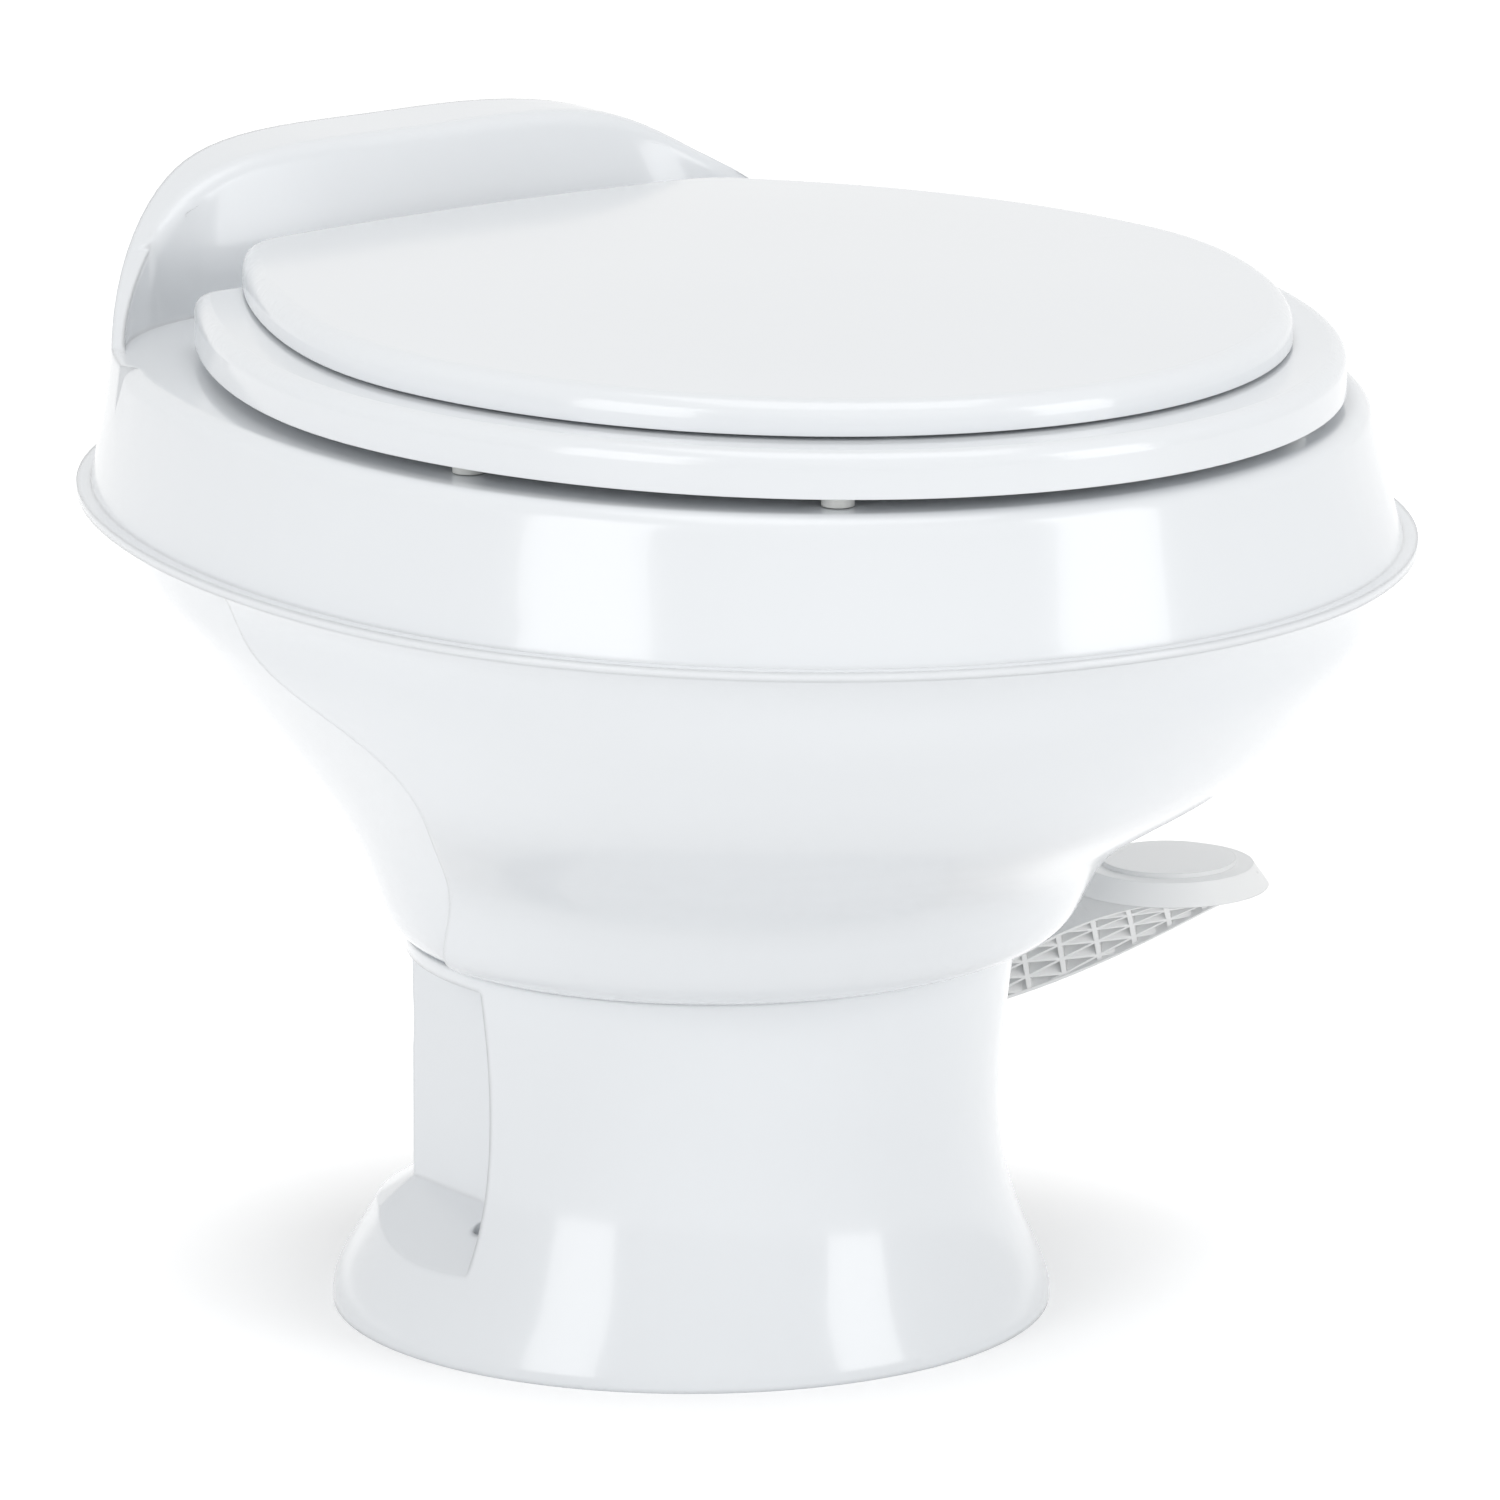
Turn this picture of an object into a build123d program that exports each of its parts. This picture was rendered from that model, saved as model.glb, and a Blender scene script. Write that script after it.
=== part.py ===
"""Low-profile gravity-flush toilet for a travel trailer, moulded in glossy white plastic.

Millimetres. The origin is the drain axis at floor level, the front faces -Y,
the foot pedal is on the +X side and +Z is up.
"""
import os
from math import asin, atan2, cos, degrees, pi, radians, sin, sqrt, tan

from build123d import *

os.makedirs("parts", exist_ok=True)

# Heights of the main levels above the floor
neck_height = 122.0
lip_height = 255.8
deck_height = 302.0
seat_height = 306.4
wall_height = 349.5

# Walls, fits and the overrun of every cut
shell_wall = 4.0
deck_wall = 4.0
running_gap = 0.5
fit_gap = 0.05
rest_gap = 0.3
overrun = 5.0

# Upper shell: plan outlines at the lip, at the shoulder and at the crest of the back wall
lip_half, lip_front, lip_rear, lip_mid = 190.5, -253.8, 208.0, -48.4
shoulder_half, shoulder_front, shoulder_rear = 175.5, -237.0, 192.0
crest_half, crest_rear = 164.5, 179.0
rear_power, shoulder_power, crest_power = 2.15, 2.3, 2.7
lip_overhang = 4.5
lip_thickness = 3.0
crest_thickness = 27.0
back_face_rear = 137.0
wall_flat_half = 54.0
wall_end_half = 141.0
wall_end_rear = 96.0
room_corner = 62.0
crest_reach_shares = [0, 0.28, 0.50, 0.70, 1]
crest_fall_shares = [0.015, 0.11, 0.30, 0.55, 1]

# Lower shell: how wide the front bowl and the rear trunk are at each level
lower_inset = 4.5
level_shares = [0, 0.143, 0.286, 0.429, 0.571, 0.714, 0.857, 1.0]
bowl_width_shares = [0, 0.19, 0.310, 0.537, 0.722, 0.845, 0.930, 1.0]
trunk_width_shares = [-0.02, 0.15, 0.255, 0.400, 0.560, 0.717, 0.855, 0.955]
trunk_reach_shares = [0, 0.045, 0.125, 0.325, 0.53, 0.715, 0.865, 0.975]
crease_shares = [-0.05, -0.10, -0.17, -0.22, -0.23, -0.12, 0.12, 0.20]
rear_points = 8
neck_step = 2.0

# Base pedestal
foot_radius = 112.8
foot_edge = 4.0
neck_radius = 96.0
waist_radius = 92.4
neck_shift = -11.2
waist_height = 80.0
base_level_shares = [0, 0.24, 0.48, 0.74, 1, 1.5, 2]
base_flare_shares = [1, 0.62, 0.24, 0.05, 0, 0.30, 1]
base_shift_shares = [0, 0.13, 0.36, 0.56, 0.77, 0.90, 1]
floor_plate = 5.0
collar_depth = 5.0
niche_half = 72.0
niche_front = -22.0
niche_floor = 39.0
niche_slope_share = 0.42
relief_slope_share = 0.65
niche_corner = 5.0
window_left, window_right = -46.0, 118.0
window_front = 42.0
window_bottom, window_top = 7.0, 112.0
floor_bolt_spread = 160.0
floor_bolt_y = -4.0
floor_bolt_hole = 4.5
seal_inner, seal_outer, seal_depth = 45.0, 60.0, 3.0

# Drain and ball valve
ball_height = 95.0
ball_radius = 56.0
ball_wall = 4.0
ball_edge_angle = 47.0
ball_strap = 24.0
ball_boss_radius, ball_boss_inner = 9.0, 45.0
outlet_radius = 36.0
drain_radius = 38.0
housing_gap = 1.2
housing_wall = 4.0
housing_top = 128.0
housing_flange_radius, housing_flange = 62.0, 6.0
drain_flange_radius, drain_flange = 58.0, 4.0
bearing_radius, bearing_end = 9.0, 64.0
shaft_radius = 5.0
shaft_front, shaft_rear = -68.0, 74.5
seal_ring_inner, seal_ring_outer, seal_ring_top = 37.5, 42.0, 139.0
collar_neck_radius, collar_top = 48.0, 143.0
screw_radius, screw_circle, screw_length = 2.0, 56.0, 11.0
screw_head_radius, screw_head = 3.5, 2.6
screw_count, screw_turn = 4, 45.0

# Gears: a pinion on the ball shaft and a toothed sector on the pedal hub
module = 2.0
pinion_teeth, sector_teeth, sector_teeth_cut = 12, 37, 9
pressure_angle = 25.0
addendum_share, dedendum_share, root_share = 0.85, 1.2, 1.02
flank_shares = [0, 0.3, 0.6, 0.8, 1]
backlash = 0.3
gear_front, gear_width = 64.5, 8.0
gear_offset = 30.0

# Pedal, its pivot pin, return spring and tappet
hub_radius, hub_rear = 10.0, 95.0
pin_front, pin_rear = 40.0, 99.0
clip_radius, clip_thickness = 8.0, 2.0
spring_wire, spring_pitch, spring_turns = 0.8, 3.0, 3.0
arm_route = [(30.0, 81.5), (76.0, 82.0), (122.0, 62.0), (152.0, 16.0), (168.0, -30.0), (173.0, -52.0)]
arm_widths = [17.0, 20.0, 27.0, 38.0, 46.0, 26.0]
arm_tops = [66.0, 68.0, 82.0, 106.0, 120.0, 119.5]
arm_near_bottoms = [46.0, 43.0, 58.0, 89.0, 111.0, 115.5]
arm_far_bottoms = [46.0, 43.0, 50.0, 73.0, 102.5, 113.5]
arm_wall, rib_wall, rib_pitch, rib_setback = 2.4, 1.6, 11.5, 1.0
rib_turns = (20, 80, 140)
rib_x, rib_y, rib_length, rib_rows = 130.0, 20.0, 200.0, 8
pad_x, pad_y, pad_height = 166.0, -28.0, 121.5
pad_foot_radius, pad_skirt, pad_plate, pad_taper = 32.0, 7.0, 3.0, 35.0
pad_rise, pad_rise_radius = 1.6, 21.5
tappet_reach, tappet_width, tappet_height = 24.0, 12.0, 8.0
tappet_front = 82.0

# Water valve, inlet and hoses
valve_x, valve_y = 11.0, 88.0
valve_radius, valve_bottom = 13.0, 76.0
plunger_radius, plunger_length, plunger_room = 3.5, 24.0, 14.0
inlet_height, inlet_radius, inlet_bore = 98.0, 8.0, 5.0
inlet_end, inlet_flange_radius, inlet_flange = 114.0, 10.0, 2.5
nut_front, nut_rear, nut_web = 108.0, 126.0, 3.0
nut_flats, nut_bore, nut_relief = 27.0, 10.3, 10.8
washer_inner, washer_thickness = 5.5, 2.0
barb_radius, barb_length = 4.5, 12.0
hose_radius, hose_bore = 6.5, 4.6
outlet_height, outlet_shift = 104.0, 2.0
feed_route = [
    (-4.0, 90.0, 104.0),
    (-34.0, 90.0, 104.0),
    (-36.0, 60.0, 104.0),
    (-36.0, 60.0, 152.0),
    (-45.0, 112.0, 214.0),
    (-45.0, 150.0, 226.0),
    (-45.0, 150.0, 252.0),
]
feed_bends = [10.0, 8.0, 12.0, 20.0, 16.0]
breaker_x, breaker_y = -45.0, 150.0
breaker_radius, breaker_bottom, breaker_wall = 15.0, 250.0, 2.5
breaker_cap_height, breaker_cap_radius = 6.0, 17.0
float_radius, float_height, float_lift = 9.0, 8.0, 5.0
rinse_height = 276.0
rinse_x = -20.0
rinse_lead, rinse_run, rinse_bends = 40.0, 30.0, [10.0, 10.0]
nozzle_front, nozzle_rear, nozzle_grip = 14.0, 24.0, 12.0

# Seat and lid
seat_half, seat_front, seat_mid, seat_reach, seat_power = 167.6, -236.4, -40.9, 185.1, 1.7
seat_rear, seat_corner = 98.0, 12.0
seat_thickness, seat_edge, seat_hole_edge = 14.0, 5.0, 4.0
seat_hole_half, seat_hole_front, seat_hole_rear, seat_hole_mid = 102.0, -182.0, 34.0, -70.0
lid_half, lid_front, lid_mid, lid_reach, lid_power = 152.3, -217.9, -41.1, 179.9, 1.6
lid_rear, lid_corner = 117.0, 22.0
lid_gap, lid_thickness, lid_edge = 1.2, 15.0, 6.5
crown_radius = 2600.0
hinge_y, hinge_height = 109.0, 314.0
pin_radius = 2.5
knuckle_radius, knuckle_width = 6.0, 14.0
post_x, post_width, post_depth, post_radius = 66.0, 12.0, 9.0, 6.5
web_front = 14.0
bolt_radius, bolt_top, bolt_length = 3.0, 5.0, 27.0
bolt_washer_radius, bolt_washer = 9.0, 1.5
wing_nut_radius, wing_nut_height, wing_span, wing_thickness = 6.0, 7.0, 26.0, 3.0
bumper_radius = 5.0
bumper_places = [(84.0, -196.0), (148.0, -96.0)]
lid_bumper_places = [(60.0, -190.0), (120.0, -90.0)]

# Inner bowl, from its outlet up to its rim
rim_half, rim_front, rim_rear, rim_mid = 114.0, -192.0, 52.0, -70.0
bowl_wall, rim_flange, rim_flange_thickness = 3.5, 14.0, 3.0
inner_level_shares = [0, 0.26, 0.62, 1.0]
inner_width_shares = [0, 0.56, 0.88, 1.0]

outline_points = 16


def outline(half, front, rear, mid, power=2.0, grow=0.0):
    """Points of a closed smooth outline: elliptic in front and squarer behind, moved out by grow."""
    points = []
    for i in range(outline_points):
        turn = 2 * pi * i / outline_points
        c, s = cos(turn), sin(turn)
        share = 2 / (power if s > 0 else 2.0)
        reach = (rear - mid if s > 0 else mid - front) + grow
        x = (half + grow) * abs(c) ** share * (1 if c >= 0 else -1)
        y = mid + reach * abs(s) ** share * (1 if s >= 0 else -1)
        points.append((x, y))
    return points


def outline_face(*sizes, **more):
    """Fills an outline in the sketch that is open."""
    with BuildLine() as edge:
        Spline(*outline(*sizes, **more), periodic=True)
    make_face(edge.line)


def between(low, high, share):
    return low + (high - low) * share


def write(builder, name):
    """Labels a finished piece and writes its STEP file."""
    builder.part.label = name
    export_step(builder.part, f"parts/{name}.step")


def block(x, y, z, mode=Mode.ADD):
    """A box between two values along each axis."""
    with BuildSketch(Plane.XY.offset(min(z))) as shape:
        with Locations(((x[0] + x[1]) / 2, (y[0] + y[1]) / 2)):
            Rectangle(abs(x[1] - x[0]), abs(y[1] - y[0]))
    extrude(shape.sketch, amount=abs(z[1] - z[0]), mode=mode)


def rod_z(x, y, radius, low, high, mode=Mode.ADD):
    with BuildSketch(Plane.XY.offset(low)) as shape:
        with Locations((x, y)):
            Circle(radius)
    extrude(shape.sketch, amount=high - low, mode=mode)


def rod_y(x, z, radius, front, rear, mode=Mode.ADD):
    with BuildSketch(Plane.XZ.offset(-front)) as shape:
        with Locations((x, z)):
            Circle(radius)
    extrude(shape.sketch, amount=front - rear, mode=mode)


def rod_x(y, z, radius, left, right, mode=Mode.ADD):
    with BuildSketch(Plane.YZ.offset(left)) as shape:
        with Locations((y, z)):
            Circle(radius)
    extrude(shape.sketch, amount=right - left, mode=mode)


# Base pedestal: a hollow waisted shell with a niche for each floor bolt and an open rear
def base_loft(inset, mode=Mode.ADD):
    """The waisted form: a straight foot edge, then circles whose centres shift forward."""
    rod_z(0, 0, foot_radius - inset, 0, foot_edge, mode)
    faces = []
    for level, flare, shift in zip(base_level_shares, base_flare_shares, base_shift_shares):
        if level <= 1:
            wide = foot_radius
            height = between(foot_edge, waist_height, level)
        else:
            wide = neck_radius
            height = between(waist_height, neck_height, level - 1)
        with BuildSketch(Plane.XY.offset(height)) as section:
            with Locations((0, shift * neck_shift)):
                Circle(between(waist_radius, wide, flare) - inset)
        faces.append(section.sketch)
    loft(faces, mode=mode)


def niche(grow, mode):
    """The recess over each floor bolt, its floor sloping down outwards."""
    far = foot_radius + 2 * overrun
    inner = niche_half - grow
    low = niche_floor - grow
    for side in (1, -1):
        with BuildSketch(Plane.XZ.offset(-foot_radius)) as shape:
            Polygon(
                (side * inner, low),
                (side * inner, neck_height - collar_depth + grow),
                (side * far, neck_height - collar_depth + grow),
                (side * far, low - (far - inner) * niche_slope_share),
                align=None,
            )
        extrude(shape.sketch, amount=foot_radius - niche_front + grow, mode=mode)


waist_middle = neck_shift * base_shift_shares[base_level_shares.index(1)]


def rear_relief(grow):
    """The ring behind each niche where the foot's flare is left off down to its top."""
    near, far = waist_radius - grow, foot_radius + 2 * overrun
    low, high = niche_floor - grow, neck_height - collar_depth + grow
    with BuildPart() as ring:
        with BuildSketch(Plane.XZ.offset(-waist_middle)) as shape:
            Polygon(
                (near, low),
                (near, high),
                (far, high),
                (far, low - (far - near) * relief_slope_share),
                align=None,
            )
        revolve(shape.sketch, Axis((0, waist_middle, 0), (0, 0, 1)))
        block((-2 * far, 2 * far), (-2 * far, niche_front - grow), (0, neck_height), Mode.SUBTRACT)
        middle = -window_left - grow
        block((-middle, middle), (-2 * far, 2 * far), (0, neck_height), Mode.SUBTRACT)
    return ring.part


outer_relief = rear_relief(0)
inner_relief = rear_relief(shell_wall)

with BuildPart() as base_cavity:
    base_loft(shell_wall)
    add(inner_relief, mode=Mode.SUBTRACT)
    niche(shell_wall - fit_gap, Mode.SUBTRACT)
    block((-foot_radius, foot_radius), (-foot_radius, foot_radius), (0, floor_plate), Mode.SUBTRACT)

with BuildPart() as base_pedestal:
    base_loft(0)
    add(base_cavity.part, mode=Mode.SUBTRACT)
    niche(0, Mode.SUBTRACT)
    add(outer_relief, mode=Mode.SUBTRACT)
    block(
        (window_left, window_right),
        (window_front, foot_radius + overrun),
        (window_bottom, window_top),
        Mode.SUBTRACT,
    )
    rod_z(0, 0, drain_radius + housing_wall + fit_gap, 0, floor_plate, Mode.SUBTRACT)
    rod_z(0, 0, seal_outer + fit_gap, 0, seal_depth, Mode.SUBTRACT)
    for side in (1, -1):
        rod_z(side * floor_bolt_spread / 2, floor_bolt_y, floor_bolt_hole, 0, niche_floor, Mode.SUBTRACT)
write(base_pedestal, "base_pedestal")

# Floor seal: a foam ring in the recess under the base
with BuildPart() as floor_seal:
    rod_z(0, 0, seal_outer, 0, seal_depth)
    rod_z(0, 0, seal_inner, 0, seal_depth, Mode.SUBTRACT)
write(floor_seal, "floor_seal")

# Lower shell: an elliptic bowl in front and a trunk behind, with a crease between them
lower_half = lip_half - lower_inset
lower_front = lip_front + lower_inset
lower_rear = lip_rear - lower_inset
lower_span = lip_height - neck_height


def lower_loft(inset, mode=Mode.ADD):
    """The bowl form in front, then a step in to the narrower trunk, at each level."""
    faces = []
    table = zip(level_shares, bowl_width_shares, trunk_width_shares, trunk_reach_shares, crease_shares)
    for level, wide, slim, reach, crease in table:
        half = between(neck_radius, lower_half, wide) - inset
        mid = between(neck_shift, lip_mid, wide)
        depth = mid - between(neck_shift - neck_radius, lower_front, wide) - inset
        side = between(neck_radius, lower_half, slim) - inset
        rear = between(neck_radius + neck_shift + neck_step, lower_rear, reach) - inset
        power = between(2.0, rear_power, wide)
        turn = asin(-crease)
        edge_x, edge_y = half * cos(turn), mid + crease * depth
        step = edge_x - side
        start = edge_y + step
        points = []
        for i in range(rear_points):
            y = start + (rear - start) * sin(pi / 2 * i / rear_points)
            back = max((y - mid) / (rear - mid), 0)
            points.append((side * (1 - back**power) ** (1 / power), y))
        mirrored = [(-x, y) for x, y in reversed(points)]
        with BuildSketch(Plane.XY.offset(neck_height + lower_span * level)) as section:
            with BuildLine() as edge:
                EllipticalCenterArc(
                    (0, mid), half, depth, start_angle=180 + degrees(turn), arc_size=180 - 2 * degrees(turn)
                )
                Line((edge_x, edge_y), points[0])
                Spline(*points, (0, rear), *mirrored)
                Line(mirrored[-1], (-edge_x, edge_y))
            make_face(edge.line)
        faces.append(section.sketch)
    loft(faces, mode=mode)


with BuildPart() as lower_shell:
    lower_loft(0)
    lower_loft(shell_wall, Mode.SUBTRACT)
write(lower_shell, "lower_shell")

# Upper shell: lip, one rising side wall, deck and the raised back wall
wall_foot = lip_height + lip_thickness
rising_sections = [
    (wall_foot, lip_half - lip_overhang, lip_front + lip_overhang, lip_rear - lip_overhang, rear_power),
    (deck_height, shoulder_half, shoulder_front, shoulder_rear, shoulder_power),
    (wall_height + overrun, crest_half, shoulder_front, crest_rear, crest_power),
]


def rising_loft(sections, inset, mode=Mode.ADD):
    faces = []
    for height, half, front, rear, power in sections:
        with BuildSketch(Plane.XY.offset(height)) as section:
            outline_face(half - inset, front + inset, rear - inset, lip_mid, power)
        faces.append(section.sketch)
    loft(faces, mode=mode)


def crest_cut(lower):
    """Takes away what is above the crest line of the back wall, lowered by some amount."""
    high = wall_height + 3 * overrun
    top, low = wall_height - lower, deck_height - lower
    wide = 2 * lip_half
    crest = [(0, top)]
    for along, fall in zip(crest_reach_shares, crest_fall_shares):
        crest.append((between(wall_flat_half, wall_end_half, along), between(top, low, fall)))
    mirrored = [(-x, z) for x, z in reversed(crest[1:])]
    with BuildSketch(Plane.XZ.offset(-lip_rear)) as shape:
        with BuildLine() as edge:
            Spline(*(mirrored + crest))
            Polyline(
                (wall_end_half, low),
                (wide, low),
                (wide, high),
                (-wide, high),
                (-wide, low),
                (-wall_end_half, low),
            )
        make_face(edge.line)
    extrude(shape.sketch, amount=2 * lip_rear, mode=Mode.SUBTRACT)


def front_cut(grow):
    """Takes away the room in front of the back wall, above the deck."""
    inset = crest_thickness - grow
    room = [
        (deck_height - grow, shoulder_half - inset, back_face_rear + grow),
        (wall_height + 2 * overrun, crest_half - inset, crest_rear - inset),
    ]
    faces = []
    for height, half, rear in room:
        with BuildSketch(Plane.XY.offset(height)) as section:
            with Locations((0, rear + 2 * lip_front)):
                Rectangle(2 * half, -4 * lip_front)
            fillet(section.vertices().group_by(Axis.Y)[-1], room_corner + grow)
        faces.append(section.sketch)
    loft(faces, mode=Mode.SUBTRACT)
    with BuildSketch(Plane.YZ.offset(-2 * lip_half)) as shape:
        Polygon(
            (4 * lip_front, deck_height - grow),
            (wall_end_rear + grow, deck_height - grow),
            (wall_end_rear + crest_thickness + grow, wall_height + 2 * overrun),
            (4 * lip_front, wall_height + 2 * overrun),
            align=None,
        )
    extrude(shape.sketch, amount=4 * lip_half, mode=Mode.SUBTRACT)


with BuildPart() as shell_cavity:
    hollow = (lip_height,) + rising_sections[0][1:]
    rising_loft([hollow] + rising_sections[1:], shell_wall)
    front_cut(deck_wall)
    crest_cut(deck_wall)

with BuildPart() as upper_shell:
    rising_loft(rising_sections, 0)
    with BuildSketch(Plane.XY.offset(lip_height)):
        outline_face(lip_half, lip_front, lip_rear, lip_mid, rear_power)
    extrude(amount=lip_thickness)
    front_cut(0)
    crest_cut(0)
    add(shell_cavity.part, mode=Mode.SUBTRACT)
    with BuildSketch(Plane.XY.offset(deck_height - deck_wall)):
        outline_face(rim_half, rim_front, rim_rear, rim_mid)
    extrude(amount=deck_wall, mode=Mode.SUBTRACT)
    for side in (1, -1):
        hole = bolt_radius + fit_gap
        rod_z(side * post_x, hinge_y, hole, deck_height - deck_wall, deck_height, Mode.SUBTRACT)
write(upper_shell, "upper_shell")

# Inner bowl, its outlet collar and its rim flange
rim_top = deck_height - deck_wall


def inner_loft(grow, mode=Mode.ADD):
    """The form of the bowl from its outlet to its rim."""
    faces = []
    for level, width in zip(inner_level_shares, inner_width_shares):
        with BuildSketch(Plane.XY.offset(between(collar_top, rim_top, level))) as section:
            outline_face(
                between(outlet_radius, rim_half, width),
                between(-outlet_radius, rim_front, width),
                between(outlet_radius, rim_rear, width),
                between(0, rim_mid, width),
                grow=grow,
            )
        faces.append(section.sketch)
    loft(faces, mode=mode)


with BuildPart() as bowl:
    inner_loft(bowl_wall)
    rod_z(0, 0, collar_neck_radius, housing_top + housing_flange, collar_top + bowl_wall)
    rod_z(0, 0, housing_flange_radius, housing_top, housing_top + housing_flange)
    with BuildSketch(Plane.XY.offset(rim_top - rim_flange_thickness)):
        outline_face(rim_half, rim_front, rim_rear, rim_mid, grow=rim_flange)
    extrude(amount=rim_flange_thickness)
    inner_loft(0, Mode.SUBTRACT)
    rod_z(0, 0, outlet_radius + running_gap, housing_top, collar_top, Mode.SUBTRACT)
    rod_z(0, 0, seal_ring_outer + fit_gap, housing_top, seal_ring_top, Mode.SUBTRACT)
    with Locations((0, 0, ball_height)):
        Sphere(ball_radius + housing_gap, mode=Mode.SUBTRACT)
    for i in range(screw_count):
        turn = radians(screw_turn) + 2 * pi * i / screw_count
        place = (screw_circle * cos(turn), screw_circle * sin(turn))
        rod_z(*place, screw_radius + fit_gap, housing_top, housing_top + housing_flange, Mode.SUBTRACT)
    rod_y(rinse_x, rinse_height, barb_radius + fit_gap, 0, rim_rear + 2 * rim_flange, Mode.SUBTRACT)
write(bowl, "bowl")

# Seal ring between the bowl outlet and the ball
with BuildPart() as bowl_seal:
    rod_z(0, 0, seal_ring_outer, housing_top, seal_ring_top)
    rod_z(0, 0, seal_ring_inner, housing_top, seal_ring_top, Mode.SUBTRACT)
    with Locations((0, 0, ball_height)):
        Sphere(ball_radius + rest_gap, mode=Mode.SUBTRACT)
write(bowl_seal, "bowl_seal")

# Valve housing with the drain tube, the ball bearings and the boss for the pedal pin
gear_distance = module * (pinion_teeth + sector_teeth) / 2
pedal_x = gear_offset
pedal_z = ball_height - sqrt(gear_distance**2 - gear_offset**2)
housing_inner = ball_radius + housing_gap
with BuildPart() as valve_housing:
    with Locations((0, 0, ball_height)):
        Sphere(housing_inner + housing_wall)
    rod_z(0, 0, housing_flange_radius, housing_top - housing_flange, housing_top)
    block(
        (-2 * housing_flange_radius, 2 * housing_flange_radius),
        (-2 * housing_flange_radius, 2 * housing_flange_radius),
        (housing_top, 2 * housing_top),
        Mode.SUBTRACT,
    )
    rod_z(0, 0, drain_radius + housing_wall, 0, ball_height - drain_radius)
    rod_z(0, 0, drain_flange_radius, floor_plate, floor_plate + drain_flange)
    rod_y(0, ball_height, bearing_radius, -bearing_end, bearing_end)
    rod_y(pedal_x, pedal_z, bearing_radius, pin_front - bearing_radius, bearing_end - spring_wire)
    with Locations((0, 0, ball_height)):
        Sphere(housing_inner, mode=Mode.SUBTRACT)
    rod_z(0, 0, drain_radius, 0, ball_height, Mode.SUBTRACT)
    rod_y(0, ball_height, shaft_radius + fit_gap, -bearing_end, bearing_end, Mode.SUBTRACT)
    rod_y(pedal_x, pedal_z, shaft_radius + fit_gap, pin_front, bearing_end, Mode.SUBTRACT)
    with PolarLocations(screw_circle, screw_count, start_angle=screw_turn):
        Cylinder(screw_radius + fit_gap, 2 * housing_top, mode=Mode.SUBTRACT)
write(valve_housing, "valve_housing")

# Screws that clamp the bowl collar to the valve housing
with BuildPart() as collar_screws:
    top = housing_top + housing_flange
    for i in range(screw_count):
        turn = radians(screw_turn) + 2 * pi * i / screw_count
        x, y = screw_circle * cos(turn), screw_circle * sin(turn)
        rod_z(x, y, screw_radius, top - screw_length, top)
        rod_z(x, y, screw_head_radius, top, top + screw_head)
write(collar_screws, "collar_screws")

# Flush ball: a spherical blade with a strap and a boss down to each stub shaft
with BuildPart() as flush_ball:
    with Locations((0, 0, ball_height)):
        Sphere(ball_radius)
        Sphere(ball_radius - ball_wall, mode=Mode.SUBTRACT)
    edge = ball_radius * cos(radians(ball_edge_angle))
    for side in (1, -1):
        block(
            (side * ball_strap / 2, side * 2 * ball_radius),
            (-2 * ball_radius, 2 * ball_radius),
            (ball_height - 2 * ball_radius, ball_height + edge),
            Mode.SUBTRACT,
        )
    block(
        (-ball_strap, ball_strap),
        (-2 * ball_radius, 2 * ball_radius),
        (ball_height - 2 * ball_radius, ball_height - ball_boss_radius),
        Mode.SUBTRACT,
    )
    for side in (1, -1):
        front, rear = sorted((side * ball_boss_inner, side * (ball_radius - ball_wall / 2)))
        rod_y(0, ball_height, ball_boss_radius, front, rear)
        front, rear = sorted((0, side * 2 * ball_radius))
        rod_y(0, ball_height, shaft_radius + fit_gap, front, rear, Mode.SUBTRACT)
write(flush_ball, "flush_ball")

# Stub shafts that turn with the ball
with BuildPart() as drive_shaft:
    rod_y(0, ball_height, shaft_radius, ball_boss_inner, shaft_rear)
write(drive_shaft, "drive_shaft")

with BuildPart() as idler_shaft:
    rod_y(0, ball_height, shaft_radius, shaft_front, -ball_boss_inner)
write(idler_shaft, "idler_shaft")


def involute(angle):
    return tan(angle) - angle


def gear_points(teeth, cut, aim, gap_at_aim):
    """The outline of a gear, or of a sector with cut teeth, about its own centre."""
    pitch = module * teeth / 2
    base = pitch * cos(radians(pressure_angle))
    tip = pitch + addendum_share * module
    root = pitch - dedendum_share * module
    half = pi / (2 * teeth) - backlash / (2 * pitch) + involute(radians(pressure_angle))
    start = max(base, root)
    flank = []
    for share in flank_shares:
        radius = between(start, tip, share)
        turn = half - involute(atan2(sqrt(max(radius**2 - base**2, 0)), base))
        flank.append((radius, turn))
    points = []
    for i in range(cut):
        centre = aim + 2 * pi / teeth * (i - (cut - 1) / 2 + (0.5 if gap_at_aim and cut % 2 else 0))
        points.append((root, centre - flank[0][1] * root_share))
        points += [(radius, centre - turn) for radius, turn in flank]
        points += [(radius, centre + turn) for radius, turn in reversed(flank)]
        points.append((root, centre + flank[0][1] * root_share))
    return [(radius * cos(turn), radius * sin(turn)) for radius, turn in points]


# In the plane of the gears +X is right and +Z is up, seen from the front
mesh_turn = atan2(ball_height - pedal_z, -pedal_x)


def gear_plate(points, x, z, mode=Mode.ADD):
    with BuildSketch(Plane.XZ.offset(-gear_front)) as shape:
        Polygon(*[(x + px, z + pz) for px, pz in points], align=None)
    extrude(shape.sketch, amount=-gear_width, mode=mode)


with BuildPart() as pinion:
    teeth = gear_points(pinion_teeth, pinion_teeth, mesh_turn + pi + pi / pinion_teeth, False)
    gear_plate(teeth, 0, ball_height)
    rod_y(0, ball_height, shaft_radius + fit_gap, gear_front, gear_front + gear_width, Mode.SUBTRACT)
write(pinion, "pinion")

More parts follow.
